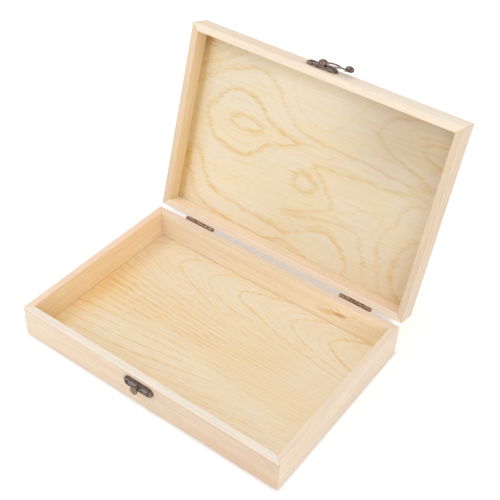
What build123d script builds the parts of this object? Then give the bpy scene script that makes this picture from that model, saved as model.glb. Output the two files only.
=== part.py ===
from build123d import *
import math
import os

# A shallow pine box with a plywood floor and lid panel, two pin hinges on its back and a
# hook latch on its front, standing open. Millimetres. X runs along the box, Y from the
# front to the back and Z up. The origin is the middle of the base tray's underside.

# Box
box_length = 250.0
box_width = 170.0
base_height = 30.5
lid_height = 19.5
wall_thickness = 6.5
floor_thickness = 3.5
top_thickness = 5.0
rebate_width = 3.0
panel_clearance = 0.1
base_edge_round = 3.0
lid_edge_round = 2.7
rim_edge_round = 0.6
corner_round = 1.3
lip_land = 0.3
seam_gap = 0.2
lid_open_angle = 105.0

# Hinges
hinge_length = 30.0
hinge_inset = 43.8
hinge_shift = 0.8
leaf_width = 10.0
leaf_thickness = 0.8
leaf_corner_round = 1.5
middle_knuckle_length = 14.6
knuckle_radius = 1.5
knuckle_end_gap = 0.15
knuckle_wood_gap = 0.2
pin_radius = 0.7
pin_fit = 0.05
pin_end_height = 0.4
leaf_nail_inset = 4.6
leaf_nail_drop = 6.2

# Nails
nail_shank_radius = 0.55
nail_length = 5.6
nail_point_length = 1.2
nail_head_radius = 1.2
nail_head_height = 0.55
nail_hole_clearance = 0.05

# Latch plates, one on the lid and one on the base
latch_shift = -2.7
latch_plate_rise = 8.8
keeper_plate_drop = 8.5
plate_length = 28.0
plate_height = 9.0
plate_thickness = 2.6
plate_bevel = 1.1
plate_rim_width = 1.9
plate_field_depth = 0.6
plate_nail_reach = 10.2

# Pivot of the latch arm
collar_radius = 3.3
collar_height = 1.6
rivet_shank_radius = 1.1
rivet_fit = 0.05
rivet_head_radius = 2.3
rivet_head_height = 0.8
arm_face_gap = 0.1

# Stud on the keeper plate that the hook goes round
stem_radius = 2.1
stem_foot_radius = 2.4
stem_foot_height = 0.6
tenon_radius = 1.1
tenon_fit = 0.02
post_head_radius = 3.3
post_head_thickness = 1.4
post_head_round = 0.6
hook_head_gap = 0.4

# Latch arm
arm_thickness = 1.0
arm_edge_round = 0.3
arm_rest_angle = -3.0
hub_radius = 3.8
hub_boss_radius = 3.5
hub_boss_height = 0.6
loop_half_length = 7.0
loop_half_width = 4.6
loop_reach = 8.4
loop_angle = 11.0
loop_bar_width = 1.3
loop_end_width = 2.2
hook_width = 1.8
hook_stem_gap = 0.4
hook_start_angle = 0.0
hook_end_angle = 150.0
knob_angle = 53.0
knob_radius = 2.5
knob_half_length = 3.7
knob_end_cut = 0.1
knob_post_gap = 0.25
knob_lift = 1.2

cut_margin = 2.0

# Where the lid turns
pin_offset = knuckle_radius + knuckle_wood_gap
pin_y = box_width / 2 + pin_offset
pin_z = base_height + seam_gap / 2
closed_rim_z = base_height + seam_gap
closed_top_z = closed_rim_z + lid_height
lid_opening = (
    Location((0, pin_y, pin_z)) * Location((0, 0, 0), (-lid_open_angle, 0, 0)) * Location((0, -pin_y, -pin_z))
)


# A plane that is drawn on the closed lid, carried to where the open lid holds it
def opened(plane):
    return Plane(lid_opening * plane.location)


# Plane of a tray's closed face, with Z towards its rim
base_frame = Plane.XY
lid_frame = opened(Plane(origin=(0, 0, closed_top_z), x_dir=(1, 0, 0), z_dir=(0, 0, -1)))

# Planes on the front faces at the middles of the two latch plates, with Z outwards
front_y = -box_width / 2
latch_z = closed_rim_z + latch_plate_rise
keeper_z = base_height - keeper_plate_drop
keeper_frame = Plane(origin=(latch_shift, front_y, keeper_z), x_dir=(1, 0, 0), z_dir=(0, -1, 0))
latch_frame = opened(Plane(origin=(latch_shift, front_y, latch_z), x_dir=(1, 0, 0), z_dir=(0, -1, 0)))

# Planes on the back faces under each pin, with Y away from the seam and Z outwards
hinge_sides = {"left": -1, "right": 1}
base_leaf_frames = {}
lid_leaf_frames = {}
for side, sign in hinge_sides.items():
    hinge_x = sign * (box_length / 2 - hinge_inset) + hinge_shift
    seam_point = (hinge_x, box_width / 2, pin_z)
    base_leaf_frames[side] = Plane(origin=seam_point, x_dir=(1, 0, 0), z_dir=(0, 1, 0))
    lid_leaf_frames[side] = opened(Plane(origin=seam_point, x_dir=(-1, 0, 0), z_dir=(0, 1, 0)))


# A plane at a point of another plane, turned by an angle about its normal
def placed(plane, x, y, height=0.0, angle=0.0):
    return Plane(plane.location * Location((x, y, height), (0, 0, angle)))


# Nail places on the outer face of what each nail holds down
leaf_nail_x = hinge_length / 2 - leaf_nail_inset
leaf_nail_sides = (-leaf_nail_x, leaf_nail_x)
plate_nail_sides = (-plate_nail_reach, plate_nail_reach)
plate_field_height = plate_thickness - plate_field_depth
base_leaf_nails = []
lid_leaf_nails = []
for x in leaf_nail_sides:
    base_leaf_nails += [placed(frame, x, leaf_nail_drop) for frame in base_leaf_frames.values()]
    lid_leaf_nails += [placed(frame, x, leaf_nail_drop) for frame in lid_leaf_frames.values()]
keeper_plate_nails = [placed(keeper_frame, x, 0) for x in plate_nail_sides]
latch_plate_nails = [placed(latch_frame, x, 0) for x in plate_nail_sides]

os.makedirs("parts", exist_ok=True)


# Walls of both trays: mitred strips with a rebate for the panel, the corners and edges eased
trays = {
    "base": {
        "frame": base_frame,
        "height": base_height,
        "panel": floor_thickness,
        "edge_round": base_edge_round,
        "turns": {"front": 0, "right": 90, "back": 180, "left": 270},
        "nails": {"front": keeper_plate_nails, "back": base_leaf_nails},
    },
    "lid": {
        "frame": lid_frame,
        "height": lid_height,
        "panel": top_thickness,
        "edge_round": lid_edge_round,
        "turns": {"back": 0, "right": 90, "front": 180, "left": 270},
        "nails": {"front": latch_plate_nails, "back": lid_leaf_nails},
    },
}
nail_seat = {"front": plate_field_height, "back": leaf_thickness}
wall_lip = wall_thickness - rebate_width

for tray_name, tray in trays.items():
    for side, turn in tray["turns"].items():
        along_x = side in ("front", "back")
        run = box_length if along_x else box_width
        reach = box_width / 2 if along_x else box_length / 2
        turned = Plane(tray["frame"].location * Location((0, 0, 0), (0, 0, turn)))
        outer = placed(turned, 0, -reach)
        section_plane = Plane(origin=outer.origin, x_dir=outer.y_dir, z_dir=outer.x_dir)
        edge_round = min(tray["edge_round"], wall_lip - lip_land, tray["height"] - rim_edge_round - lip_land)

        with BuildPart() as wall:
            with BuildSketch(section_plane) as section:
                Rectangle(wall_thickness, tray["height"], align=(Align.MIN, Align.MIN))
                fillet(section.vertices().sort_by_distance((0, 0))[0], edge_round)
                fillet(section.vertices().sort_by(Axis.Y)[-2:], rim_edge_round)
                with Locations((wall_lip, 0)):
                    Rectangle(rebate_width, tray["panel"], align=(Align.MIN, Align.MIN), mode=Mode.SUBTRACT)
            extrude(amount=run / 2, both=True)
            # The mitres, with the box's upright corners rounded
            depth = wall_thickness + cut_margin
            round_side = corner_round * math.cos(math.radians(45))
            with BuildSketch(outer.offset(-cut_margin)):
                with BuildLine():
                    front_line = Line((0, 0), (run / 2 - corner_round, 0))
                    corner = CenterArc((run / 2 - corner_round, corner_round), corner_round, -90, 45)
                    mitre = Line(corner @ 1, (run / 2 - depth, depth))
                    Line(mitre @ 1, (0, depth))
                    mirror(about=Plane.YZ)
                make_face()
            extrude(amount=tray["height"] + 2 * cut_margin, mode=Mode.INTERSECT)
            if side in tray["nails"]:
                with Locations(*tray["nails"][side]):
                    Hole(nail_shank_radius + nail_hole_clearance, nail_length - nail_seat[side])
        name = f"{tray_name}_{side}_wall"
        wall.part.label = name
        export_step(wall.part, f"parts/{name}.step")


# Plywood panels, let in flush with the outside
panel_length = box_length - 2 * wall_lip - 2 * panel_clearance
panel_width = box_width - 2 * wall_lip - 2 * panel_clearance

with BuildPart() as base_floor_panel:
    with BuildSketch(base_frame):
        Rectangle(panel_length, panel_width)
    extrude(amount=floor_thickness)
base_floor_panel.part.label = "base_floor_panel"
export_step(base_floor_panel.part, "parts/base_floor_panel.step")

with BuildPart() as lid_top_panel:
    with BuildSketch(lid_frame):
        Rectangle(panel_length, panel_width)
    extrude(amount=top_thickness)
lid_top_panel.part.label = "lid_top_panel"
export_step(lid_top_panel.part, "parts/lid_top_panel.step")


# Hinge leaves: the base leaf has the two outer knuckles and the lid leaf the middle one
outer_knuckle_length = (hinge_length - middle_knuckle_length) / 2 - knuckle_end_gap
outer_knuckle_x = (hinge_length - outer_knuckle_length) / 2
leaf_clear = knuckle_radius + knuckle_wood_gap
leaf_kinds = {
    "base_leaf": {
        "frames": base_leaf_frames,
        "knuckles": {-outer_knuckle_x: outer_knuckle_length, outer_knuckle_x: outer_knuckle_length},
        "notches": {0: middle_knuckle_length + 2 * knuckle_end_gap},
    },
    "lid_leaf": {
        "frames": lid_leaf_frames,
        "knuckles": {0: middle_knuckle_length},
        "notches": {
            -outer_knuckle_x: outer_knuckle_length + 2 * knuckle_end_gap,
            outer_knuckle_x: outer_knuckle_length + 2 * knuckle_end_gap,
        },
    },
}

for kind_name, kind in leaf_kinds.items():
    for side, frame in kind["frames"].items():
        with BuildPart() as leaf:
            with BuildSketch(frame) as outline:
                Rectangle(hinge_length, leaf_width, align=(Align.CENTER, Align.MIN))
                fillet(outline.vertices().sort_by(Axis.Y)[-2:], leaf_corner_round)
                for x, length in kind["notches"].items():
                    with Locations((x, 0)):
                        Rectangle(length, 2 * leaf_clear, mode=Mode.SUBTRACT)
            extrude(amount=leaf_thickness)
            for x, length in kind["knuckles"].items():
                knuckle_middle = placed(frame, x, 0, pin_offset)
                knuckle_plane = Plane(origin=knuckle_middle.origin, x_dir=frame.y_dir, z_dir=frame.x_dir)
                with BuildSketch(knuckle_plane):
                    Circle(knuckle_radius)
                extrude(amount=length / 2, both=True)
                with BuildSketch(knuckle_plane):
                    Circle(pin_radius + pin_fit)
                extrude(amount=length, both=True, mode=Mode.SUBTRACT)
            nail_places = [placed(frame, x, leaf_nail_drop, leaf_thickness) for x in leaf_nail_sides]
            with Locations(*nail_places):
                Hole(nail_shank_radius + nail_hole_clearance)
        name = f"{side}_hinge_{kind_name}"
        leaf.part.label = name
        export_step(leaf.part, f"parts/{name}.step")


# Hinge pins, with their ends domed over
pin_length = hinge_length + 2 * pin_end_height

for side, frame in base_leaf_frames.items():
    pin_middle = placed(frame, 0, 0, pin_offset)
    with BuildPart() as pin:
        with BuildSketch(Plane(origin=pin_middle.origin, x_dir=frame.y_dir, z_dir=frame.x_dir)):
            Circle(pin_radius)
        extrude(amount=pin_length / 2, both=True)
        fillet(pin.edges().filter_by(GeomType.CIRCLE), min(pin_end_height, pin_radius / 2))
    name = f"{side}_hinge_pin"
    pin.part.label = name
    export_step(pin.part, f"parts/{name}.step")


# One nail, its head's seat at the origin and its point down
def make_nail():
    with BuildPart() as nail:
        with BuildSketch(Plane.XZ):
            with BuildLine():
                Polyline(
                    (0, nail_head_height),
                    (0, -nail_length),
                    (nail_shank_radius, nail_point_length - nail_length),
                    (nail_shank_radius, 0),
                    (nail_head_radius, 0),
                )
                TangentArc((0, nail_head_height), (nail_head_radius, 0), tangent=(1, 0))
            make_face()
        revolve(axis=Axis.Z)
    return nail.part


nail_groups = {
    "hinge_base_nails": (base_leaf_nails, leaf_thickness),
    "hinge_lid_nails": (lid_leaf_nails, leaf_thickness),
    "keeper_nails": (keeper_plate_nails, plate_field_height),
    "latch_nails": (latch_plate_nails, plate_field_height),
}

one_nail = make_nail()
for name, (places, seat) in nail_groups.items():
    with BuildPart() as nails:
        with Locations(*[place.offset(seat) for place in places]):
            add(one_nail)
    nails.part.label = name
    export_step(nails.part, f"parts/{name}.step")


# Latch plates: a bevelled rim round a sunk field, and on the lid's a collar for the arm
plates = {
    "keeper_plate": {"frame": keeper_frame, "collar": 0.0, "hole": tenon_radius + tenon_fit},
    "latch_plate": {"frame": latch_frame, "collar": collar_height, "hole": rivet_shank_radius + tenon_fit},
}
collar_top = plate_thickness + collar_height

for name, made in plates.items():
    frame = made["frame"]
    with BuildPart() as plate:
        with BuildSketch(frame):
            SlotOverall(plate_length, plate_height)
        extrude(amount=plate_thickness)
        front_face = plate.faces().sort_by(Axis(frame.origin, frame.z_dir))[-1]
        chamfer(front_face.edges(), plate_bevel)
        with BuildSketch(frame.offset(plate_thickness)):
            SlotOverall(plate_length - 2 * plate_rim_width, plate_height - 2 * plate_rim_width)
        extrude(amount=-plate_field_depth, mode=Mode.SUBTRACT)
        if made["collar"]:
            with BuildSketch(frame.offset(plate_field_height)):
                Circle(collar_radius)
            extrude(amount=plate_field_depth + made["collar"])
        nail_places = [placed(frame, x, 0, plate_thickness) for x in plate_nail_sides]
        with Locations(*nail_places):
            Hole(nail_shank_radius + nail_hole_clearance)
        with Locations(frame.offset(collar_top)):
            Hole(made["hole"])
    plate.part.label = name
    export_step(plate.part, f"parts/{name}.step")


# Heights over the wood at which the arm turns
arm_bottom = collar_top + arm_face_gap
arm_top = arm_bottom + arm_thickness
hub_top = arm_top + hub_boss_height

# Rivet of the arm, its head over the hub
with BuildPart() as latch_rivet:
    with BuildSketch(latch_frame):
        Circle(rivet_shank_radius)
    extrude(amount=hub_top + arm_face_gap)
    with BuildSketch(latch_frame.offset(hub_top + arm_face_gap)):
        Circle(rivet_head_radius)
    extrude(amount=rivet_head_height)
    head_rim = latch_rivet.faces().sort_by(Axis(latch_frame.origin, latch_frame.z_dir))[-1].edges()
    fillet(head_rim, rivet_head_height * 0.8)
latch_rivet.part.label = "latch_rivet"
export_step(latch_rivet.part, "parts/latch_rivet.step")

# Keeper post: tenon, foot, stem and head
post_head_bottom = arm_top + hook_head_gap
with BuildPart() as keeper_post:
    with BuildSketch(keeper_frame):
        Circle(tenon_radius)
    extrude(amount=plate_field_height)
    with BuildSketch(keeper_frame.offset(plate_field_height)):
        Circle(stem_foot_radius)
    extrude(amount=stem_foot_height)
    with BuildSketch(keeper_frame.offset(plate_field_height)):
        Circle(stem_radius)
    extrude(amount=post_head_bottom - plate_field_height)
    with BuildSketch(keeper_frame.offset(post_head_bottom)):
        Circle(post_head_radius)
    extrude(amount=post_head_thickness)
    head_rim = keeper_post.faces().sort_by(Axis(keeper_frame.origin, keeper_frame.z_dir))[-1].edges()
    fillet(head_rim, min(post_head_round, post_head_thickness * 0.8))
keeper_post.part.label = "keeper_post"
export_step(keeper_post.part, "parts/keeper_post.step")

# Latch arm, drawn along X from its hub. Latched, it points straight down and its hook goes
# round the stem, so the hook's middle lies as far from the hub as the plates are apart.
hook_reach = latch_plate_rise + seam_gap + keeper_plate_drop
hook_inner_radius = stem_radius + hook_stem_gap
hook_radius = hook_inner_radius + hook_width / 2
hook_sweep = hook_end_angle - hook_start_angle
loop_turn = math.radians(loop_angle)
loop_middle = (loop_reach * math.cos(loop_turn), loop_reach * math.sin(loop_turn))
arm_plane = placed(latch_frame, 0, 0, arm_bottom, arm_rest_angle)

# The knob lies along the lid, beyond the post's head when latched
knob_turn = math.radians(knob_angle)
knob_slant = math.radians(knob_angle + arm_rest_angle)
knob_extent = math.hypot(knob_half_length * math.cos(knob_slant), knob_radius * math.sin(knob_slant))
knob_distance = post_head_radius + knob_post_gap + knob_extent
knob_x = hook_reach + knob_distance * math.cos(knob_turn)
knob_y = knob_distance * math.sin(knob_turn)
knob_plane = placed(arm_plane, knob_x, knob_y, knob_lift, -arm_rest_angle)

with BuildPart() as latch_arm:
    with BuildSketch(arm_plane):
        with Locations(Location(loop_middle, loop_angle)):
            Ellipse(loop_half_length, loop_half_width)
            Ellipse(loop_half_length - loop_end_width, loop_half_width - loop_bar_width, mode=Mode.SUBTRACT)
        Circle(hub_radius)
        with BuildLine(mode=Mode.PRIVATE):
            hook_line = CenterArc((hook_reach, 0), hook_radius, hook_start_angle, hook_sweep)
            neck_line = PolarLine((hook_reach, 0), knob_distance, knob_angle)
        SlotArc(hook_line, hook_width)
        with Locations(Location(neck_line @ 0.5, knob_angle)):
            SlotCenterToCenter(neck_line.length, hook_width)
        with Locations((hook_reach, 0)):
            Circle(hook_inner_radius, mode=Mode.SUBTRACT)
    extrude(amount=arm_thickness)
    with BuildSketch(arm_plane.offset(arm_thickness)):
        Circle(hub_boss_radius)
    extrude(amount=hub_boss_height)
    outer_face = latch_arm.faces().sort_by(Axis(arm_plane.origin, arm_plane.z_dir))[-1]
    fillet(outer_face.edges(), arm_edge_round)
    with Locations(arm_plane.offset(arm_thickness + hub_boss_height)):
        Hole(rivet_shank_radius + rivet_fit)
    with BuildSketch(knob_plane):
        Ellipse(knob_half_length, knob_radius)
        Rectangle(
            2 * (knob_half_length - knob_end_cut),
            knob_radius,
            align=(Align.CENTER, Align.MIN),
            mode=Mode.INTERSECT,
        )
    revolve(axis=Axis(knob_plane.origin, knob_plane.x_dir))
latch_arm.part.label = "latch_arm"
export_step(latch_arm.part, "parts/latch_arm.step")
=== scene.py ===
import bpy
import bmesh
import math
from mathutils import Matrix, Vector

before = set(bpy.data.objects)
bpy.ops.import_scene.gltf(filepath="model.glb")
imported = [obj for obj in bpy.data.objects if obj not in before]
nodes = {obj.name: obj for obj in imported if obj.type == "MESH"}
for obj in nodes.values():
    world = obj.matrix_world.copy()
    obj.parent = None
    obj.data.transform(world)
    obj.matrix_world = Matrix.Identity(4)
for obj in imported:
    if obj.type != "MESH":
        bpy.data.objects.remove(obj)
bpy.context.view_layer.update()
print("frame loaded,", len(nodes), "nodes")

toMillimetres = 1000.0

# The closed box in millimetres, which the patterns are drawn on
boxShape = {
    "halfLength": 125.0,
    "halfWidth": 85.0,
    "wall": 6.5,
    "rim": 30.5,
    "baseSeat": 3.5,  # the floor panel's inside face
    "lidSeat": 45.2,  # the lid panel's inside face
}

# Where the lid turns, in degrees and metres, so that its grain can be drawn as on the closed box
lidTurn = {"openAngle": 105.0, "pin": (0, 0.0867, 0.0306)}


# Node tree helpers

def addNode(tree, kind, **settings):
    node = tree.nodes.new(kind)
    for name, value in settings.items():
        setattr(node, name, value)
    return node


def feed(tree, socket, value):
    if isinstance(value, bpy.types.NodeSocket):
        tree.links.new(value, socket)
    elif value is not None:
        socket.default_value = value


def calc(tree, operation, a, b=None, c=None, clamp=False):
    node = addNode(tree, "ShaderNodeMath", operation=operation, use_clamp=clamp)
    for socket, value in zip(node.inputs, (a, b, c)):
        feed(tree, socket, value)
    return node.outputs[0]


def plus(tree, a, b):
    return calc(tree, "ADD", a, b)


def minus(tree, a, b):
    return calc(tree, "SUBTRACT", a, b)


def times(tree, product, *factors):
    for factor in factors:
        product = calc(tree, "MULTIPLY", product, factor)
    return product


def sizeOf(tree, value):
    return calc(tree, "ABSOLUTE", value)


def vectorCalc(tree, operation, a, b=None):
    node = addNode(tree, "ShaderNodeVectorMath", operation=operation)
    feed(tree, node.inputs[0], a)
    feed(tree, node.inputs["Scale"] if operation == "SCALE" else node.inputs[1], b)
    return node.outputs["Value" if operation in ("LENGTH", "DOT_PRODUCT") else "Vector"]


def squareOf(tree, vector):
    return vectorCalc(tree, "DOT_PRODUCT", vector, vector)


# A noise colour lies around a half on each channel
def centred(tree, noiseColor):
    return vectorCalc(tree, "SUBTRACT", noiseColor, (0.5, 0.5, 0.5))


def split(tree, vector):
    node = addNode(tree, "ShaderNodeSeparateXYZ")
    feed(tree, node.inputs[0], vector)
    return node.outputs


def rotated(tree, axis, vector, angle, invert=False):
    node = addNode(tree, "ShaderNodeVectorRotate", rotation_type=axis, invert=invert)
    feed(tree, node.inputs["Vector"], vector)
    feed(tree, node.inputs["Angle"], angle)
    return node.outputs[0]


def remap(tree, value, fromMin, fromMax, toMin=0.0, toMax=1.0):
    node = addNode(tree, "ShaderNodeMapRange", interpolation_type="SMOOTHSTEP")
    for name, given in (("Value", value), ("From Min", fromMin), ("From Max", fromMax),
                        ("To Min", toMin), ("To Max", toMax)):
        feed(tree, node.inputs[name], given)
    return node.outputs["Result"]


def fadeOut(tree, value, near, far, amount=1.0):
    return remap(tree, value, near, far, amount, 0.0)


# A bell curve of a squared distance
def bell(tree, square, steepness=1.0):
    return calc(tree, "POWER", math.e, times(tree, square, -steepness))


# A number of its own for each whole number, from weakest up to one
def randomStrength(tree, whole, weakest):
    pick = addNode(tree, "ShaderNodeTexWhiteNoise", noise_dimensions="1D")
    feed(tree, pick.inputs["W"], whole)
    return calc(tree, "MULTIPLY_ADD", pick.outputs["Value"], 1 - weakest, weakest)


# A Mix node has its own pair of inputs and its own output for each kind of value
mixSockets = {"VECTOR": (4, 5, 1), "RGBA": (6, 7, 2)}


def mixed(tree, kind, amount, first, second):
    node = addNode(tree, "ShaderNodeMix", data_type=kind)
    firstInput, secondInput, result = mixSockets[kind]
    feed(tree, node.inputs[0], amount)
    feed(tree, node.inputs[firstInput], first)
    feed(tree, node.inputs[secondInput], second)
    return node.outputs[result]


def blendColor(tree, amount, first, second):
    first, second = (color if isinstance(color, bpy.types.NodeSocket) else (*color, 1.0)
                     for color in (first, second))
    return mixed(tree, "RGBA", amount, first, second)


def tinted(tree, amount, color, tint):
    return blendColor(tree, amount, color, vectorCalc(tree, "MULTIPLY", color, tint))


def ownGroup(name, inputs, outputs):
    group = bpy.data.node_groups.new(name, "ShaderNodeTree")
    for socketName, kind, value in inputs:
        socket = group.interface.new_socket(
            name=socketName, in_out="INPUT", socket_type="NodeSocket" + kind)
        socket.default_value = value
    for socketName, kind in outputs:
        group.interface.new_socket(
            name=socketName, in_out="OUTPUT", socket_type="NodeSocket" + kind)
    given = addNode(group, "NodeGroupInput").outputs
    put = addNode(group, "NodeGroupOutput").inputs
    return group, given, put


def useGroup(tree, group, **given):
    node = addNode(tree, "ShaderNodeGroup", node_tree=group)
    for name, value in given.items():
        feed(tree, node.inputs[name], value)
    return node.outputs


def noiseAt(tree, place, scale=1.0, detail=2.0, roughness=0.5):
    node = addNode(tree, "ShaderNodeTexNoise")
    feed(tree, node.inputs["Vector"], place)
    for name, value in (("Scale", scale), ("Detail", detail), ("Roughness", roughness)):
        node.inputs[name].default_value = value
    return node.outputs


# A noise that is longer along the grain than across it
def grainNoise(tree, place, stretch, **settings):
    along, across = stretch
    place = vectorCalc(tree, "MULTIPLY", place, (along, across, across))
    return noiseAt(tree, place, **settings)


def addBump(tree, shader, height, strength, distance):
    bump = addNode(tree, "ShaderNodeBump")
    bump.inputs["Strength"].default_value = strength
    bump.inputs["Distance"].default_value = distance
    feed(tree, bump.inputs["Height"], height)
    feed(tree, shader.inputs["Normal"], bump.outputs[0])


# Shared effects. Places are in millimetres with the grain along X, and a pair for a noise says how
# often it changes in a millimetre along and across the grain.

fibreLook = {
    "soft": (0.03, 1.1),
    "fine": (0.09, 4.2),
    "softShare": 0.55,
    "pores": (0.16, 5.5),
    "poreRange": (0.66, 0.78),
    "poreDepth": 0.6,
}

ringLook = {
    "sway": (0.007, 0.02),
    "shake": (0.03, 0.25),
    "shakeSize": 0.9,
    "rise": (0.42, 0.88),  # shares of a year's growth, from pale to dark and back
    "fall": (0.90, 1.0),
    "weakest": 0.35,
}

veneerLook = {
    "roll": (0.012, 0.03),
    "ragged": (0.08, 0.35),
    "raggedSize": 2.6,
    "leastSlope": 0.02,
    "core": 0.2,  # half the width of a line's full tone
    "shortSide": 0.5,  # how far a line fades on its short side, as a share of Reach
    "weakest": 0.55,
}

edgeLook = {"samples": 6, "bend": (0.01, 0.16), "edgePatchScale": 1.3, "edgePatchiness": (0.3, 0.6)}

skinLook = {"cloudScale": 0.55, "cloud": (0.35, 0.68), "gritScale": 3.5}


def makeFibreGroup():
    tree, given, put = ownGroup(
        "woodFibres", [("Place", "Vector", (0, 0, 0))],
        [("Fibre", "Float"), ("Pores", "Float"), ("Height", "Float")])
    place, share = given["Place"], fibreLook["softShare"]
    soft = grainNoise(tree, place, fibreLook["soft"], detail=3.0, roughness=0.6)[0]
    fine = grainNoise(tree, place, fibreLook["fine"])[0]
    pores = grainNoise(tree, place, fibreLook["pores"], detail=1.0)[0]
    fibre = plus(tree, times(tree, soft, share), times(tree, fine, 1 - share))
    dark = remap(tree, pores, *fibreLook["poreRange"])
    feed(tree, put["Fibre"], fibre)
    feed(tree, put["Pores"], dark)
    feed(tree, put["Height"], minus(tree, fibre, times(tree, dark, fibreLook["poreDepth"])))
    return tree


# Year rings around a pith that runs along X
def makeRingGroup():
    tree, given, put = ownGroup(
        "growthRings",
        [("Place", "Vector", (0, 0, 0)), ("PithY", "Float", 40.0), ("PithZ", "Float", -30.0),
         ("Spacing", "Float", 2.0), ("Wave", "Float", 4.0), ("Swell", "Float", 0.0)],
        [("Line", "Float")])
    place = given["Place"]
    slow = grainNoise(tree, place, ringLook["sway"])[1]
    small = grainNoise(tree, place, ringLook["shake"])[1]
    sway = vectorCalc(tree, "SCALE", centred(tree, slow), given["Wave"])
    shake = vectorCalc(tree, "SCALE", centred(tree, small), ringLook["shakeSize"])
    bent = vectorCalc(tree, "ADD", vectorCalc(tree, "ADD", place, sway), shake)
    _, y, z = split(tree, bent)
    y, z = minus(tree, y, given["PithY"]), minus(tree, z, given["PithZ"])
    radius = calc(tree, "SQRT", plus(tree, times(tree, y, y), times(tree, z, z)))
    count = calc(tree, "DIVIDE", plus(tree, radius, given["Swell"]), given["Spacing"])
    cycle = calc(tree, "FRACT", count)
    strength = randomStrength(tree, calc(tree, "FLOOR", count), ringLook["weakest"])
    rise = remap(tree, cycle, *ringLook["rise"])
    fall = fadeOut(tree, cycle, *ringLook["fall"])
    feed(tree, put["Line"], times(tree, rise, fall, strength))
    return tree


# A soft oval hill, with its slope, so that lines drawn on it keep their width
def makeHillGroup():
    tree, given, put = ownGroup(
        "figureHill",
        [("Place", "Vector", (0, 0, 0)), ("Centre", "Vector", (0, 0, 0)),
         ("Stretch", "Vector", (1, 1, 0)), ("Turn", "Float", 0.0), ("Height", "Float", 1.0)],
        [("Height", "Float"), ("Slope", "Vector")])
    turned = rotated(tree, "Z_AXIS", vectorCalc(tree, "SUBTRACT", given["Place"], given["Centre"]),
                     given["Turn"])
    near = vectorCalc(tree, "MULTIPLY", turned, given["Stretch"])
    height = times(tree, bell(tree, squareOf(tree, near)), given["Height"])
    back = rotated(tree, "Z_AXIS", vectorCalc(tree, "MULTIPLY", near, given["Stretch"]),
                   given["Turn"], invert=True)
    feed(tree, put["Height"], height)
    steepness = times(tree, height, -2.0)  # as a bell curve's slope goes
    feed(tree, put["Slope"], vectorCalc(tree, "SCALE", back, steepness))
    return tree


# Contour lines of a height field, drawn where the field is a whole number, as wide as Reach says
def makeVeneerGroup():
    tree, given, put = ownGroup(
        "rotaryVeneer",
        [("Place", "Vector", (0, 0, 0)), ("Field", "Float", 0.0), ("Slope", "Float", 0.1),
         ("Roll", "Float", 0.2), ("Lines", "Float", 1.0), ("Reach", "Float", 2.0)],
        [("Line", "Float")])
    place, core = given["Place"], veneerLook["core"]
    roll = grainNoise(tree, place, veneerLook["roll"])[0]
    ragged = grainNoise(tree, place, veneerLook["ragged"], detail=3.0, roughness=0.6)[0]
    field = calc(tree, "MULTIPLY_ADD", minus(tree, roll, 0.5), given["Roll"], given["Field"])
    shake = times(tree, minus(tree, ragged, 0.5), veneerLook["raggedSize"])
    field = times(tree, field, given["Lines"])
    slope = calc(tree, "MAXIMUM", times(tree, given["Slope"], given["Lines"]),
                 veneerLook["leastSlope"])
    field = calc(tree, "MULTIPLY_ADD", shake, slope, field)
    whole = calc(tree, "ROUND", field)
    away = calc(tree, "DIVIDE", minus(tree, field, whole), slope)
    strength = randomStrength(tree, whole, veneerLook["weakest"])
    rise = remap(tree, away, times(tree, given["Reach"], -1.0), -core)
    fall = fadeOut(tree, away, core, times(tree, given["Reach"], veneerLook["shortSide"]))
    feed(tree, put["Line"], times(tree, rise, fall, strength))
    return tree


# Edges, found from how far the surface bends within Reach. On the bronze they are rubbed wear,
# partly lightened into a painted highlight; on the pine they carry a painted highlight.
def makeEdgeGroup():
    tree, given, put = ownGroup(
        "wornAndHighlitEdges", [("Place", "Vector", (0, 0, 0)), ("Reach", "Float", 0.0005)],
        [("Edge", "Float")])
    bevel = addNode(tree, "ShaderNodeBevel", samples=edgeLook["samples"])
    feed(tree, bevel.inputs["Radius"], given["Reach"])
    plain = addNode(tree, "ShaderNodeNewGeometry").outputs["Normal"]
    bend = minus(tree, 1.0, vectorCalc(tree, "DOT_PRODUCT", bevel.outputs[0], plain))
    edgePatchiness = noiseAt(tree, given["Place"], scale=edgeLook["edgePatchScale"], detail=3.0)[0]
    feed(tree, put["Edge"], times(tree, remap(tree, bend, *edgeLook["bend"]),
                                  remap(tree, edgePatchiness, *edgeLook["edgePatchiness"])))
    return tree


def makeSkinGroup():
    tree, given, put = ownGroup(
        "castSkin", [("Place", "Vector", (0, 0, 0))], [("Cloud", "Float"), ("Grit", "Float")])
    cloud = noiseAt(tree, given["Place"], scale=skinLook["cloudScale"], detail=3.0)[0]
    grit = noiseAt(tree, given["Place"], scale=skinLook["gritScale"], detail=3.0, roughness=0.65)[0]
    feed(tree, put["Cloud"], remap(tree, cloud, *skinLook["cloud"]))
    feed(tree, put["Grit"], grit)
    return tree


fibreGroup = makeFibreGroup()
ringGroup = makeRingGroup()
hillGroup = makeHillGroup()
veneerGroup = makeVeneerGroup()
edgeGroup = makeEdgeGroup()
skinGroup = makeSkinGroup()
print("shared effects made")


def newMaterial(name):
    material = bpy.data.materials.new(name)
    material.use_nodes = True
    tree = material.node_tree
    shader = next(node for node in tree.nodes if node.type == "BSDF_PRINCIPLED")
    return material, tree, shader


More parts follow.
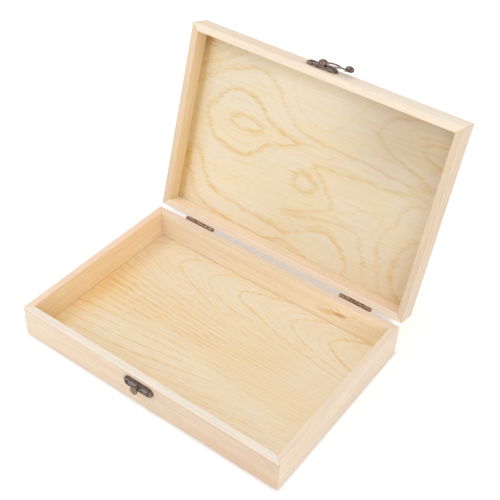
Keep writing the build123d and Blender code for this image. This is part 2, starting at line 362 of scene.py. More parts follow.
# The object's place in millimetres, as on the closed box, turned so that the grain runs along X
def grainPlace(tree, onLid, turn=0.0):
    pin = Vector(lidTurn["pin"]) * toMillimetres
    closing = math.radians(lidTurn["openAngle"]) if onLid else 0.0
    turning = math.radians(turn)
    toPin = pin - Matrix.Rotation(closing, 3, "X") @ pin
    mapping = addNode(tree, "ShaderNodeMapping")
    mapping.inputs["Scale"].default_value = (toMillimetres, toMillimetres, toMillimetres)
    mapping.inputs["Rotation"].default_value = (closing, 0, turning)
    mapping.inputs["Location"].default_value = Matrix.Rotation(turning, 3, "Z") @ toPin
    feed(tree, mapping.inputs["Vector"], addNode(tree, "ShaderNodeTexCoord").outputs["Object"])
    return mapping.outputs[0]


def wearSkin(node, material):
    nodes[node].data.materials.clear()
    nodes[node].data.materials.append(material)
    for polygon in nodes[node].data.polygons:
        polygon.material_index = 0


# Pine strips of the walls

pineLook = {
    "line": (0.90, 0.70, 0.47),
    "lineAmount": 0.80,
    "poreAmount": 0.45,
    "pink": (0.99, 0.93, 0.89),
    "pinkNoise": (0.008, 0.08),
    "pinkRange": (0.35, 0.68),
    "pale": (1.03, 1.07, 1.12),
    "paleNoise": (0.014, 0.55),
    "paleRange": (0.52, 0.72),
    "grey": (0.945, 0.93, 0.92),
    "greyNoise": (0.02, 0.8),
    "greyRange": (0.56, 0.72),
    "rimCalm": 0.75,  # how much of the streaks, lines and painted edge highlight a rim goes without
    "joint": (0.80, 0.66, 0.50),
    "jointAmount": 0.7,
    "seat": (0.86, 0.75, 0.62),
    "wearAndHighlight": (1.03, 1.05, 1.07),
    # A painted highlight along the bent edges of the pine
    "edgeHighlightReach": 0.0008,
    "edgeHighlightAmount": 0.20,
    "fibreRange": (0.28, 0.72),
    "fibreTone": (0.90, 1.06),
    "roughRange": (0.2, 0.8),
    "roughness": (0.54, 0.72),
    "specular": 0.25,
    "lineBump": 0.5,
    "bumpStrength": 0.25,
    "bumpDistance": 0.00012,
}

# From where to where a board's inside, rim, mitre joint and panel seat fade. The inside is given in
# shares of the inner half length and width, and the others in millimetres from their own line.
boardZones = {
    "inside": (1.0005, 1.003),
    "rim": (0.25, 0.6),
    "joint": (0.10, 0.35),
    "seat": (0.2, 1.1),
}

# Outside and inside, a board has a colour for each end: left and right, or front and back. These
# colours, and the rims', are partly the wood's own tone and partly painted light and shade: the
# front darkens towards its right end where the light falls off, and the insides of the left walls
# carry painted warm bounce light and shade. Turn is how its grain lies, shift takes it to its own
# part of the tree, and pith is the rings' middle, across the grain and up.
hiddenOutside = ((0.82, 0.68, 0.52), (0.82, 0.68, 0.52))
hiddenInside = ((0.84, 0.66, 0.45), (0.84, 0.66, 0.45))

pineBoards = {
    "base_front_wall": {
        "outer": ((0.80, 0.71, 0.58), (0.71, 0.575, 0.44)),
        "inner": ((0.84, 0.70, 0.50), (0.84, 0.70, 0.50)),
        "rim": (0.875, 0.79, 0.69),
        "turn": 0, "shift": 31, "pith": (-60, -160),
        "spacing": 1.2, "wave": 5.0, "lines": 1.0},
    "base_back_wall": {
        "outer": hiddenOutside,
        "inner": ((0.91, 0.83, 0.69), (0.98, 0.88, 0.68)),
        "rim": (0.85, 0.70, 0.56),
        "turn": 0, "shift": 400, "pith": (160, -90),
        "spacing": 1.6, "wave": 3.0, "lines": 1.4},
    "base_left_wall": {
        "outer": hiddenOutside,
        "inner": ((0.935, 0.755, 0.485), (0.94, 0.76, 0.515)),
        "rim": (0.895, 0.69, 0.535),
        "turn": -90, "shift": 900, "pith": (-260, -60),
        "spacing": 1.2, "wave": 3.0, "lines": 0.35},
    "base_right_wall": {
        "outer": ((0.77, 0.66, 0.53), (0.78, 0.67, 0.55)),
        "inner": hiddenInside,
        "rim": (0.86, 0.72, 0.58),
        "turn": -90, "shift": 1400, "pith": (200, -120),
        "spacing": 1.6, "wave": 4.0, "lines": 0.8},
    "lid_front_wall": {
        "outer": ((0.89, 0.79, 0.65), (0.94, 0.85, 0.74)),
        "inner": hiddenInside,
        "rim": (0.85, 0.74, 0.60),
        "turn": 0, "shift": 2100, "pith": (-170, 190),
        "spacing": 1.7, "wave": 5.0, "lines": 0.6},
    "lid_back_wall": {
        "outer": hiddenOutside,
        "inner": ((0.96, 0.83, 0.66), (0.93, 0.78, 0.63)),
        "rim": (0.86, 0.74, 0.60),
        "turn": 0, "shift": 2600, "pith": (170, 190),
        "spacing": 1.6, "wave": 4.0, "lines": 0.7},
    "lid_left_wall": {
        "outer": hiddenOutside,
        "inner": ((0.826, 0.66, 0.43), (0.888, 0.725, 0.46)),
        "rim": (0.76, 0.585, 0.415),
        "turn": -90, "shift": 3100, "pith": (-210, 160),
        "spacing": 1.2, "wave": 3.0, "lines": 0.5},
    "lid_right_wall": {
        "outer": ((0.74, 0.635, 0.51), (0.74, 0.63, 0.51)),
        "inner": hiddenInside,
        "rim": (0.72, 0.59, 0.43),
        "turn": -90, "shift": 3700, "pith": (260, 130),
        "spacing": 1.6, "wave": 4.0, "lines": 0.9},
}

# A knot on the inside of the back wall, and the dark tail that runs from it along the grain
knot = {
    "wall": "base_back_wall",
    "centre": (74.0, 78.5, 16.9),
    "tilt": -14.0,
    "shake": (0.12, 0.9),
    "shakeSize": 4.0,
    "reach": (7.0, 3.0, 2.5),
    "fade": 1.4,
    "amount": 0.9,
    "color": (0.70, 0.41, 0.17),
    "tail": (-8.0, 0, 0.6),
    "tailReach": (15.0, 4.0, 2.6),
    "tailFade": 1.6,
    "tailAmount": 0.85,
    "tailColor": (0.85, 0.59, 0.31),
    "swell": 4.5,  # how far it pushes the year rings away
    "swellSteepness": 0.35,
}

# A fine scratch that crosses the grain near the right end of the front, and a speck beside it
scratch = {
    "wall": "base_front_wall",
    "start": (106.0, 30.0),
    "end": (123.0, 18.5),
    "core": 0.05,
    "width": 0.9,
    "amount": 0.60,
    "endFade": 2.0,
    "speck": (124.2, 28.8),
    "speckCore": 0.2,
    "speckReach": 1.3,
    "speckAmount": 0.8,
    "color": (0.50, 0.38, 0.27),
}


# The board's colour, partly its own tone and partly painted light and shade: outside, inside or
# rim, changing from one end to the other
def boardColor(tree, name, board, closed):
    x, y, z = split(tree, closed)
    halfLength, halfWidth = boxShape["halfLength"], boxShape["halfWidth"]
    wideX = calc(tree, "DIVIDE", sizeOf(tree, x), halfLength - boxShape["wall"])
    wideY = calc(tree, "DIVIDE", sizeOf(tree, y), halfWidth - boxShape["wall"])
    inside = fadeOut(tree, calc(tree, "MAXIMUM", wideX, wideY), *boardZones["inside"])
    along, half = (y, halfWidth) if board["turn"] else (x, halfLength)
    share = remap(tree, along, -half, half)
    outer = blendColor(tree, share, *board["outer"])
    inner = blendColor(tree, share, *board["inner"])
    onRim = fadeOut(tree, sizeOf(tree, minus(tree, z, boxShape["rim"])), *boardZones["rim"])
    color = blendColor(tree, inside, outer, inner)
    color = blendColor(tree, onRim, color, board["rim"])
    corner = minus(tree, sizeOf(tree, x), sizeOf(tree, y))
    offJoint = sizeOf(tree, minus(tree, corner, halfLength - halfWidth))
    joint = fadeOut(tree, offJoint, *boardZones["joint"])
    panelLevel = boxShape["lidSeat" if name.startswith("lid") else "baseSeat"]
    offSeat = sizeOf(tree, minus(tree, z, panelLevel))
    seat = times(tree, inside, fadeOut(tree, offSeat, *boardZones["seat"]))
    return color, joint, seat, onRim


# How strong the knot and its tail are, and how far they push the rings away
def knotMasks(tree, straight):
    shake = centred(tree, grainNoise(tree, straight, knot["shake"])[1])
    shake = vectorCalc(tree, "SCALE", shake, knot["shakeSize"])
    fromCentre = vectorCalc(tree, "SUBTRACT", straight, knot["centre"])
    turned = rotated(tree, "Y_AXIS", fromCentre, math.radians(-knot["tilt"]))
    around = vectorCalc(tree, "ADD", turned, shake)
    away = squareOf(tree, vectorCalc(tree, "DIVIDE", around, knot["reach"]))
    fromTail = vectorCalc(tree, "SUBTRACT", around, knot["tail"])
    tail = squareOf(tree, vectorCalc(tree, "DIVIDE", fromTail, knot["tailReach"]))
    swell = times(tree, bell(tree, away, knot["swellSteepness"]), knot["swell"])
    return (fadeOut(tree, away, 0.0, knot["fade"], knot["amount"]),
            fadeOut(tree, tail, 0.0, knot["tailFade"], knot["tailAmount"]), swell)


def scratchMask(tree, closed):
    x, _, z = split(tree, closed)
    (startX, startZ), (endX, endZ) = scratch["start"], scratch["end"]
    length = math.hypot(endX - startX, endZ - startZ)
    alongX, alongZ = (endX - startX) / length, (endZ - startZ) / length
    fromX, fromZ = minus(tree, x, startX), minus(tree, z, startZ)
    along = plus(tree, times(tree, fromX, alongX), times(tree, fromZ, alongZ))
    aside = minus(tree, times(tree, fromX, alongZ), times(tree, fromZ, alongX))
    ends = times(tree, remap(tree, along, 0.0, scratch["endFade"]),
                 fadeOut(tree, along, length - scratch["endFade"], length))
    line = fadeOut(tree, sizeOf(tree, aside), scratch["core"], scratch["width"], scratch["amount"])
    speckX, speckZ = scratch["speck"]
    offX, offZ = minus(tree, x, speckX), minus(tree, z, speckZ)
    away = calc(tree, "SQRT", calc(tree, "MULTIPLY_ADD", offX, offX, times(tree, offZ, offZ)))
    speck = fadeOut(tree, away, scratch["speckCore"], scratch["speckReach"], scratch["speckAmount"])
    return calc(tree, "MAXIMUM", times(tree, line, ends), speck)


def makePine(name, board):
    material, tree, shader = newMaterial(name + "_pine")
    onLid = name.startswith("lid")
    closed = grainPlace(tree, onLid)
    straight = grainPlace(tree, onLid, board["turn"]) if board["turn"] else closed
    place = vectorCalc(tree, "ADD", straight, (board["shift"], 0, 0))
    swell = 0.0
    if name == knot["wall"]:
        knotCore, knotTail, swell = knotMasks(tree, straight)
    rings = useGroup(tree, ringGroup, Place=place, PithY=board["pith"][0], PithZ=board["pith"][1],
                     Spacing=board["spacing"], Wave=board["wave"], Swell=swell)["Line"]
    fibres = useGroup(tree, fibreGroup, Place=place)
    color, joint, seat, onRim = boardColor(tree, name, board, closed)
    calm = calc(tree, "MULTIPLY_ADD", onRim, -pineLook["rimCalm"], 1.0)

    pink = grainNoise(tree, place, pineLook["pinkNoise"], detail=3.0)[0]
    pale = grainNoise(tree, place, pineLook["paleNoise"], detail=3.0, roughness=0.6)[0]
    grey = split(tree, grainNoise(tree, place, pineLook["greyNoise"])[1])[1]
    for tint, noise in (("pink", pink), ("pale", pale), ("grey", grey)):
        amount = times(tree, remap(tree, noise, *pineLook[tint + "Range"]), calm)
        color = tinted(tree, amount, color, pineLook[tint])

    lines = calc(tree, "MULTIPLY", rings, pineLook["lineAmount"] * board["lines"], clamp=True)
    color = tinted(tree, times(tree, lines, calm), color, pineLook["line"])
    tone = remap(tree, fibres["Fibre"], *pineLook["fibreRange"], *pineLook["fibreTone"])
    color = vectorCalc(tree, "SCALE", color, tone)
    pores = times(tree, fibres["Pores"], pineLook["poreAmount"])
    color = tinted(tree, pores, color, pineLook["line"])

    if name == knot["wall"]:
        color = blendColor(tree, knotTail, color, knot["tailColor"])
        color = blendColor(tree, knotCore, color, knot["color"])
    if name == scratch["wall"]:
        color = blendColor(tree, scratchMask(tree, closed), color, scratch["color"])

    # A painted highlight along the bent edges, kept off the mitre joints and calmer on the rims
    edge = useGroup(tree, edgeGroup, Place=place, Reach=pineLook["edgeHighlightReach"])["Edge"]
    wearAndHighlight = times(tree, edge, minus(tree, 1.0, joint), calm, pineLook["edgeHighlightAmount"])
    color = tinted(tree, wearAndHighlight, color, pineLook["wearAndHighlight"])
    color = tinted(tree, times(tree, joint, pineLook["jointAmount"]), color, pineLook["joint"])
    color = tinted(tree, seat, color, pineLook["seat"])
    feed(tree, shader.inputs["Base Color"], color)
    rough = remap(tree, fibres["Fibre"], *pineLook["roughRange"], *pineLook["roughness"])
    feed(tree, shader.inputs["Roughness"], rough)
    shader.inputs["Specular IOR Level"].default_value = pineLook["specular"]
    height = plus(tree, fibres["Height"], times(tree, rings, pineLook["lineBump"]))
    addBump(tree, shader, height, pineLook["bumpStrength"], pineLook["bumpDistance"])
    return material


for boardName, board in pineBoards.items():
    wearSkin(boardName, makePine(boardName, board))
print("pine walls dressed")


# Plywood faces

plyLook = {
    "sideEase": 0.3,
    "cloud": (0.012, 0.04),
    "cloudRange": (0.38, 0.62),
    "streak": (0.025, 0.5),
    "streakRange": (0.50, 0.70),
    "feather": (0.05, 0.75),
    "wander": (0.07, 0.12),
    "fade": (0.02, 0.05),
    "fadeRange": (0.32, 0.62),
    "leastFade": 0.40,
    "broken": (0.09, 0.9),
    "brokenRange": (0.36, 0.62),
    "leastBroken": 0.35,
    "faintReach": 1.6,
    "poreAmount": 0.22,
    "fibreRange": (0.25, 0.75),
    "fibreTone": (0.955, 1.03),
    "roughRange": (0.2, 0.8),
    "roughness": (0.5, 0.66),
    "specular": 0.25,
    "bumpStrength": 0.15,
    "bumpDistance": 0.0001,
}

# The lines lie where the sweep, or else the base, and the hills add up to whole numbers. A hill is
# x, y, half length, half width, turn in degrees and height. A patch of painted light and shade is
# x, y, half length, half width and tint. A band of painted shade and warm bounce light tints beside
# the left wall, fading from the nearer to the farther distance, and its fade entry weakens it
# towards the back. The weak corner, at the right front, has paler lines. The inside begins at
# insideLevel.
plyPanels = {
    "base_floor_panel": {
        "light": (0.865, 0.745, 0.55),
        "cool": (0.865, 0.765, 0.60),
        "line": (0.96, 0.77, 0.46),
        "paleStreak": (1.01, 1.04, 1.10),
        "warmStreak": (0.985, 0.955, 0.87),
        "shift": (20, 60, 0),
        "insideLevel": 2.5,
        "insideShare": (0.0, 1.0),
        "torn": (14.0, 1.2, 0),
        "bent": (6.0, 3.5, 0),
        "sweep": {
            "ridge": 60.5, "bend": 0.0024, "reach": 75.0, "ease": 40.0, "rest": 0.11,
            "restEase": 20.0, "lean": (0.025, -0.019), "leanRange": (20.0, 105.0)},
        "hills": [
            (-40, -48, 55, 14, 8, 0.5), (20, -75, 50, 10, 10, -0.5), (-20, 60, 28, 30, 0, 0.38)],
        "roll": 0.25,
        "reach": 2.4,
        "lineAmount": 1.0,
        "faintLines": 3.0,
        "faintAmount": 0.34,
        "weakCorner": {"acrossX": (-30.0, 60.0), "acrossY": (40.0, 10.0), "amount": 0.55},
        "wallLightAndShade": [((4.0, 30.0), (1.05, 0.98, 0.86)), ((4.0, 18.0), (1.10, 1.09, 1.06))],
        "wallLightAndShadeFade": {"acrossY": (0.0, 65.0), "least": 0.35},
        "lightAndShadePatches": [(-112, 0, 18, 26, (1.0, 0.95, 0.82)), (122, 0, 40, 200, (1.10, 1.15, 1.23))],
    },
    "lid_top_panel": {
        "light": (0.795, 0.685, 0.49),
        "cool": (0.785, 0.695, 0.545),
        "line": (0.94, 0.77, 0.45),
        "paleStreak": (1.01, 1.04, 1.09),
        "warmStreak": (0.98, 0.955, 0.89),
        "shift": (300, 500, 0),
        "insideLevel": 46.2,
        "insideShare": (1.0, 0.0),
        "torn": (17.0, 1.4, 0),
        "bent": (6.0, 6.0, 0),
        "sweep": None,
        "base": 0.69,
        "hills": [
            (-68, -14, 43, 39, 33, 2.02), (0, -15, 78, 8, -1, 1.06), (1, -61, 41, 21, -21, -0.33),
            (27, 37, 57, 7, -19, -0.6), (3, 14, 15, 11, 17, 1.75), (115, 48, 26, 46, 1, 1.86),
            (122, -52, 51, 17, 2, 1.73), (39, 66, 43, 29, 33, 1.59), (-110, 38, 46, 26, 59, 1.22),
            (-43, 70, 55, 20, 2, 1.57), (-55, 40, 20, 9, -21, 0.62), (85, 71, 10, 32, -22, -0.87),
            (114, -9, 27, 8, 19, -0.17), (-115, -79, 49, 23, -29, -3.84)],
        "roll": 0.16,
        "reach": 5.0,
        "lineAmount": 0.92,
        "faintLines": 3.0,
        "faintAmount": 0.30,
        "weakCorner": None,
        "wallLightAndShade": [((5.0, 22.0), (0.99, 0.92, 0.80)), ((3.5, 8.5), (0.88, 0.80, 0.60))],
        "wallLightAndShadeFade": None,
        "lightAndShadePatches": [
            (80, -55, 56, 46, (0.75, 0.715, 0.68)), (125, 50, 60, 60, (0.93, 0.90, 0.87)),
            (118, 0, 30, 30, (1.02, 1.05, 1.10)), (-90, -75, 60, 40, (0.94, 0.96, 0.96)),
            (-80, 60, 60, 40, (1.08, 1.06, 1.05)), (20, 10, 50, 30, (1.0, 0.98, 0.92)),
            (-118, -78, 7, 18, (0.64, 0.45, 0.20))],
    },
}


def placeHill(tree, place, x, y, halfLength, halfWidth, turn, height):
    return useGroup(tree, hillGroup, Place=place, Centre=(x, y, 0),
                    Stretch=(1 / halfLength, 1 / halfWidth, 0),
                    Turn=math.radians(-turn), Height=height)


# A field whose lines sweep in from the left wall and bend along the box, and its slope
def sweptField(tree, flat, sweep):
    x, y, _ = split(tree, flat)
    below = minus(tree, sweep["ridge"], y)
    near = calc(tree, "SMOOTH_MIN", below, sweep["reach"], sweep["ease"])
    curve = times(tree, near, near, -sweep["bend"])
    curve = calc(tree, "MULTIPLY_ADD", minus(tree, below, near), -sweep["rest"], curve)
    lean = remap(tree, below, *sweep["leanRange"], *sweep["lean"])
    field = calc(tree, "MULTIPLY_ADD", x, lean, curve)
    steep = times(tree, near, 2 * sweep["bend"])
    rest = remap(tree, below, sweep["reach"] - sweep["restEase"],
                 sweep["reach"] + sweep["restEase"])
    steep = calc(tree, "MULTIPLY_ADD", rest, minus(tree, sweep["rest"], steep), steep)
    slope = addNode(tree, "ShaderNodeCombineXYZ")
    feed(tree, slope.inputs[0], lean)
    feed(tree, slope.inputs[1], steep)
    return field, slope.outputs[0]


def veneerField(tree, straight, look):
    flat = vectorCalc(tree, "MULTIPLY", straight, (1, 1, 0))
    feather = grainNoise(tree, flat, plyLook["feather"], roughness=0.6)[1]
    wander = grainNoise(tree, flat, plyLook["wander"])[1]
    torn = vectorCalc(tree, "MULTIPLY", centred(tree, feather), look["torn"])
    bent = vectorCalc(tree, "MULTIPLY", centred(tree, wander), look["bent"])
    flat = vectorCalc(tree, "ADD", flat, vectorCalc(tree, "ADD", torn, bent))
    if look["sweep"]:
        field, slope = sweptField(tree, flat, look["sweep"])
    else:
        field, slope = look["base"], None
    for x, y, halfLength, halfWidth, turn, height in look["hills"]:
        hill = placeHill(tree, flat, x, y, halfLength, halfWidth, turn, height)
        field = plus(tree, hill["Height"], field)
        slope = vectorCalc(tree, "ADD", slope, hill["Slope"]) if slope else hill["Slope"]
    return flat, field, vectorCalc(tree, "LENGTH", slope)


# The outside has the inside's figure turned round, and none of the inside's painted light and shade
def makePly(name, look):
    material, tree, shader = newMaterial(name + "_ply")
    straight = grainPlace(tree, name.startswith("lid"))
    place = vectorCalc(tree, "ADD", straight, look["shift"])
    x, y, z = split(tree, straight)
    inside = remap(tree, z, look["insideLevel"] - plyLook["sideEase"],
                   look["insideLevel"] + plyLook["sideEase"], *look["insideShare"])
    flipped = vectorCalc(tree, "MULTIPLY", straight, (-1, -1, 1))
    figured = mixed(tree, "VECTOR", inside, flipped, straight)
    flat, field, slope = veneerField(tree, figured, look)
    inPlane = vectorCalc(tree, "MULTIPLY", place, (1, 1, 0))
    main = useGroup(tree, veneerGroup, Place=inPlane, Field=field, Slope=slope,
                    Roll=look["roll"], Lines=1.0, Reach=look["reach"])["Line"]
    faint = useGroup(tree, veneerGroup, Place=inPlane, Field=field, Slope=slope,
                     Roll=look["roll"], Lines=look["faintLines"],
                     Reach=plyLook["faintReach"])["Line"]
    fibres = useGroup(tree, fibreGroup, Place=place)

    cloud = grainNoise(tree, place, plyLook["cloud"], detail=3.0)[0]
    cool = remap(tree, cloud, *plyLook["cloudRange"])
    color = blendColor(tree, cool, look["light"], look["cool"])
    streak = grainNoise(tree, inPlane, plyLook["streak"], detail=3.0, roughness=0.6)[1]
    pale, warm, _ = split(tree, streak)
    for noise, tint in ((pale, look["paleStreak"]), (warm, look["warmStreak"])):
        color = tinted(tree, remap(tree, noise, *plyLook["streakRange"]), color, tint)

    fade = remap(tree, grainNoise(tree, place, plyLook["fade"])[0],
                 *plyLook["fadeRange"], plyLook["leastFade"])
    broken = remap(tree, grainNoise(tree, place, plyLook["broken"])[0],
                   *plyLook["brokenRange"], plyLook["leastBroken"])
    strength = look["lineAmount"]
    if look["weakCorner"]:
        corner = look["weakCorner"]
        weak = times(tree, remap(tree, x, *corner["acrossX"]), remap(tree, y, *corner["acrossY"]))
        strength = calc(tree, "MULTIPLY_ADD", weak, -corner["amount"], strength)
    lines = times(tree, times(tree, main, fade), times(tree, broken, strength))
    color = tinted(tree, lines, color, look["line"])
    color = tinted(tree, times(tree, faint, look["faintAmount"]), color, look["line"])

    fromWall = plus(tree, x, boxShape["halfLength"] - boxShape["wall"])
    wallLightAndShadeMask = inside
    if look["wallLightAndShadeFade"]:
        fading = look["wallLightAndShadeFade"]
        wallLightAndShadeMask = times(tree, remap(tree, y, *fading["acrossY"], 1.0, fading["least"]), inside)
    # Painted shade and warm bounce light beside the left wall
    for (near, far), tint in look["wallLightAndShade"]:
        color = tinted(tree, times(tree, fadeOut(tree, fromWall, near, far), wallLightAndShadeMask), color, tint)
    # Painted light and shade in soft patches across the inside
    for x, y, halfLength, halfWidth, tint in look["lightAndShadePatches"]:
        patch = placeHill(tree, flat, x, y, halfLength, halfWidth, 0, inside)["Height"]
        color = tinted(tree, patch, color, tint)

    tone = remap(tree, fibres["Fibre"], *plyLook["fibreRange"], *plyLook["fibreTone"])
    color = vectorCalc(tree, "SCALE", color, tone)
    pores = times(tree, fibres["Pores"], plyLook["poreAmount"])
    color = tinted(tree, pores, color, look["line"])
    feed(tree, shader.inputs["Base Color"], color)
    rough = remap(tree, fibres["Fibre"], *plyLook["roughRange"], *plyLook["roughness"])
    feed(tree, shader.inputs["Roughness"], rough)
    shader.inputs["Specular IOR Level"].default_value = plyLook["specular"]
    addBump(tree, shader, fibres["Height"], plyLook["bumpStrength"], plyLook["bumpDistance"])
    return material


for panelName, panelLook in plyPanels.items():
    wearSkin(panelName, makePly(panelName, panelLook))
print("plywood panels dressed")


# Aged bronze of the latch and hinges. A field is the sunk part of a plate.

castLook = {
    "metallic": 0.85,
    "gritRoughness": 0.4,
    "fieldAmount": 0.8,
    "bumpStrength": 0.35,
    "bumpDistance": 0.00012,
}

bronzeLooks = {
    "latchBronze": {
        "nodes": ["latch_rivet", "latch_arm"],
        "dark": (0.090, 0.062, 0.052), "brown": (0.270, 0.185, 0.145), "wearAndHighlight": (0.72, 0.54, 0.44),
        "roughness": 0.30, "edgeReach": 0.0009, "edgeAmount": 0.95},
    "plateBronze": {
        "nodes": ["latch_plate"],
        "dark": (0.110, 0.080, 0.068), "brown": (0.330, 0.250, 0.210), "wearAndHighlight": (0.72, 0.54, 0.44),
        "roughness": 0.30, "edgeReach": 0.0009, "edgeAmount": 0.95,
        "field": (0.24, 0.225, 0.23), "fieldUp": 39.5, "onLid": True},
    "postBronze": {
        "nodes": ["keeper_post"],
        "dark": (0.150, 0.105, 0.080), "brown": (0.360, 0.260, 0.190), "wearAndHighlight": (0.75, 0.58, 0.45),
        "roughness": 0.32, "edgeReach": 0.0009, "edgeAmount": 0.9},
    "keeperBronze": {
        "nodes": ["keeper_plate"],
        "dark": (0.080, 0.058, 0.050), "brown": (0.230, 0.165, 0.135), "wearAndHighlight": (0.66, 0.50, 0.40),
        "roughness": 0.32, "edgeReach": 0.0009, "edgeAmount": 0.95,
        "field": (0.20, 0.195, 0.21), "fieldUp": 22.0},
    "hingeBronze": {
        "nodes": ["left_hinge_base_leaf", "right_hinge_base_leaf", "left_hinge_lid_leaf",
                  "right_hinge_lid_leaf", "left_hinge_pin", "right_hinge_pin"],
        "dark": (0.180, 0.115, 0.072), "brown": (0.500, 0.305, 0.165), "wearAndHighlight": (0.72, 0.50, 0.32),
        "roughness": 0.38, "edgeReach": 0.0004, "edgeAmount": 0.6},
    "nailBronze": {
        "nodes": ["hinge_base_nails", "hinge_lid_nails", "keeper_nails", "latch_nails"],
        "dark": (0.045, 0.030, 0.022), "brown": (0.110, 0.075, 0.050), "wearAndHighlight": (0.36, 0.22, 0.14),
        "roughness": 0.45, "edgeReach": 0.0003, "edgeAmount": 0.5},
}

# The sunk field of both plates, in millimetres on the closed box
plateField = {
    "face": 87.6,  # how far forward the plates' rims stand
    "depths": (0.40, 0.57),
    "across": -2.7,
    "halfLength": 12.3,
    "halfHeight": 2.8,
    "ease": 0.3,
}


def fieldMask(tree, place, up):
    x, y, z = split(tree, place)
    sunk = remap(tree, plus(tree, y, plateField["face"]), *plateField["depths"])
    offX = sizeOf(tree, minus(tree, x, plateField["across"]))
    offZ = sizeOf(tree, minus(tree, z, up))
    ease, halfLength, halfHeight = (plateField[key] for key in ("ease", "halfLength", "halfHeight"))
    within = times(tree, fadeOut(tree, offX, halfLength - ease, halfLength),
                   fadeOut(tree, offZ, halfHeight - ease, halfHeight))
    return times(tree, sunk, within)


def makeBronze(name, look):
    material, tree, shader = newMaterial(name)
    place = grainPlace(tree, look.get("onLid", False))
    skin = useGroup(tree, skinGroup, Place=place)
    edge = useGroup(tree, edgeGroup, Place=place, Reach=look["edgeReach"])["Edge"]
    color = blendColor(tree, skin["Cloud"], look["dark"], look["brown"])
    if "field" in look:
        inField = times(tree, fieldMask(tree, place, look["fieldUp"]), castLook["fieldAmount"])
        color = blendColor(tree, inField, color, look["field"])
    # Rubbed wear on the edges, partly lightened into a painted highlight
    color = blendColor(tree, times(tree, edge, look["edgeAmount"]), color, look["wearAndHighlight"])
    feed(tree, shader.inputs["Base Color"], color)
    rough = calc(tree, "MULTIPLY_ADD", minus(tree, skin["Grit"], 0.5), castLook["gritRoughness"],
                 look["roughness"])
    feed(tree, shader.inputs["Roughness"], rough)
    shader.inputs["Metallic"].default_value = castLook["metallic"]
    addBump(tree, shader, skin["Grit"], castLook["bumpStrength"], castLook["bumpDistance"])
    return material


for finish, look in bronzeLooks.items():
    bronze = makeBronze(finish, look)
    for member in look["nodes"]:
        wearSkin(member, bronze)
print("bronze dressed")


# Floor, light and camera. The floor glows, so that it burns out to white, but less under and
# close behind the box, a painted shadow that shows in the gap below the open lid, and along a thin
# painted contact shadow beside the box. Distances are in millimetres.

floorLook = {
    "size": 8.0,  # metres
    "color": (0.93, 0.93, 0.93),
    "mottleScale": 3.0,
    "mottleRange": (0.3, 0.7),
    "mottle": (0.985, 1.0),
    "roughness": 0.9,
    "glow": 0.30,
    "paintedShadowColor": (0.16, 0.15, 0.21),
    "dimLeft": 18.0,
    "dimLength": 122.0,
    "dimLengthEase": (-5.0, 5.0),
    "dimMiddle": 30.0,
    "dimHalf": 105.0,
    "dimHalfEase": (-8.0, 22.0),
    "contactShadowX": (0.3, 1.3),  # a thin painted contact shadow beside the box
    "contactShadowY": (0.8, 2.2),
}

lightsAim = (0.0, 0.03, 0.05)

lights = {
    "keyLight": {"place": (-0.60, -0.45, 1.05), "size": 0.45, "power": 3.0},
    "fillLight": {"place": (1.28, -0.72, 0.58), "size": 1.2, "power": 4.6},
}

skyLook = {"light": 0.82, "backdrop": 1.1}

camera = {
    "place": (0.31867, -0.42583, 0.55793),
    "forward": (-0.42310, 0.63101, -0.65024),
    "down": (0.40960, -0.50690, -0.75850),
    "lens": 67.14,
    "sensor": 36.0,
    "nearest": 0.01,
}


def easeAround(tree, value, edge, ease):
    return remap(tree, value, edge + ease[0], edge + ease[1])


# One where the floor is clear of the box, and nought where its glow drops into painted shadow
def clearOfPaintedShadow(tree, place):
    x, y, _ = split(tree, vectorCalc(tree, "SCALE", place, toMillimetres))
    across = sizeOf(tree, plus(tree, x, floorLook["dimLeft"]))
    across = easeAround(tree, across, floorLook["dimLength"], floorLook["dimLengthEase"])
    behind = sizeOf(tree, minus(tree, y, floorLook["dimMiddle"]))
    behind = easeAround(tree, behind, floorLook["dimHalf"], floorLook["dimHalfEase"])
    clear = calc(tree, "MAXIMUM", across, behind)
    nearX = easeAround(tree, sizeOf(tree, x), boxShape["halfLength"], floorLook["contactShadowX"])
    nearY = easeAround(tree, sizeOf(tree, y), boxShape["halfWidth"], floorLook["contactShadowY"])
    return calc(tree, "MINIMUM", clear, calc(tree, "MAXIMUM", nearX, nearY))


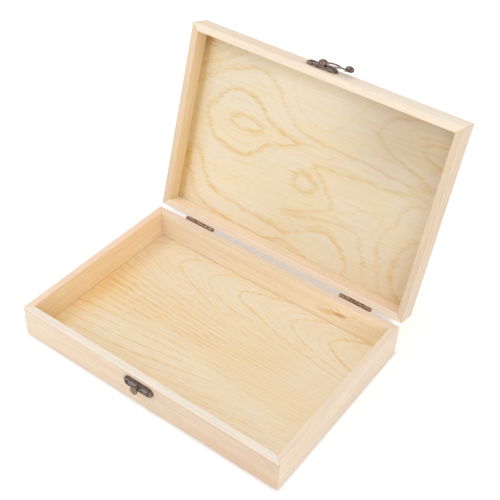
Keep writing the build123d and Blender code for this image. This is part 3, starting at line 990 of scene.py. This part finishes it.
def makeFloor():
    mesh = bmesh.new()
    bmesh.ops.create_grid(mesh, x_segments=2, y_segments=2, size=floorLook["size"] / 2)
    data = bpy.data.meshes.new("studioFloor")
    mesh.to_mesh(data)
    mesh.free()
    floor = bpy.data.objects.new("studioFloor", data)
    bpy.context.collection.objects.link(floor)
    material, tree, shader = newMaterial("paleFloor")
    place = addNode(tree, "ShaderNodeTexCoord").outputs["Object"]
    # Painted shadow: the glow dims under and behind the box and along its foot
    glow = blendColor(tree, clearOfPaintedShadow(tree, place), floorLook["paintedShadowColor"], floorLook["color"])
    noise = noiseAt(tree, place, scale=floorLook["mottleScale"])[0]
    mottle = remap(tree, noise, *floorLook["mottleRange"], *floorLook["mottle"])
    feed(tree, shader.inputs["Base Color"], vectorCalc(tree, "SCALE", floorLook["color"], mottle))
    shader.inputs["Roughness"].default_value = floorLook["roughness"]
    shader.inputs["Specular IOR Level"].default_value = 0.0
    feed(tree, shader.inputs["Emission Color"], glow)
    shader.inputs["Emission Strength"].default_value = floorLook["glow"]
    data.materials.append(material)


def makeLight(name, look):
    lamp = bpy.data.lights.new(name, "AREA")
    lamp.shape = "DISK"
    lamp.size = look["size"]
    lamp.energy = look["power"]
    light = bpy.data.objects.new(name, lamp)
    light.location = look["place"]
    towards = Vector(lightsAim) - Vector(look["place"])
    light.rotation_euler = towards.to_track_quat("-Z", "Y").to_euler()
    bpy.context.collection.objects.link(light)


def makeCamera():
    data = bpy.data.cameras.new("photoCamera")
    data.sensor_width = camera["sensor"]
    data.lens = camera["lens"]
    data.clip_start = camera["nearest"]
    seen = bpy.data.objects.new("photoCamera", data)
    forward = Vector(camera["forward"]).normalized()
    up = -Vector(camera["down"])
    up = (up - forward * up.dot(forward)).normalized()
    right = forward.cross(up)
    turn = Matrix((right, up, -forward)).transposed().to_4x4()
    seen.matrix_world = Matrix.Translation(camera["place"]) @ turn
    bpy.context.collection.objects.link(seen)
    bpy.context.scene.camera = seen


# The sky lights the box softly, and is white where the camera sees it
def makeSky():
    world = bpy.data.worlds.new("studioSky")
    world.use_nodes = True
    tree = world.node_tree
    sky = next(node for node in tree.nodes if node.type == "BACKGROUND")
    sky.inputs["Color"].default_value = (1, 1, 1, 1)
    seen = addNode(tree, "ShaderNodeLightPath").outputs["Is Camera Ray"]
    brighter = skyLook["backdrop"] - skyLook["light"]
    feed(tree, sky.inputs["Strength"],
         calc(tree, "MULTIPLY_ADD", seen, brighter, skyLook["light"]))
    bpy.context.scene.world = world


makeFloor()
for lightName, lightLook in lights.items():
    makeLight(lightName, lightLook)
makeCamera()
makeSky()
bpy.context.scene.view_settings.view_transform = "Standard"
print("floor, light and camera placed")
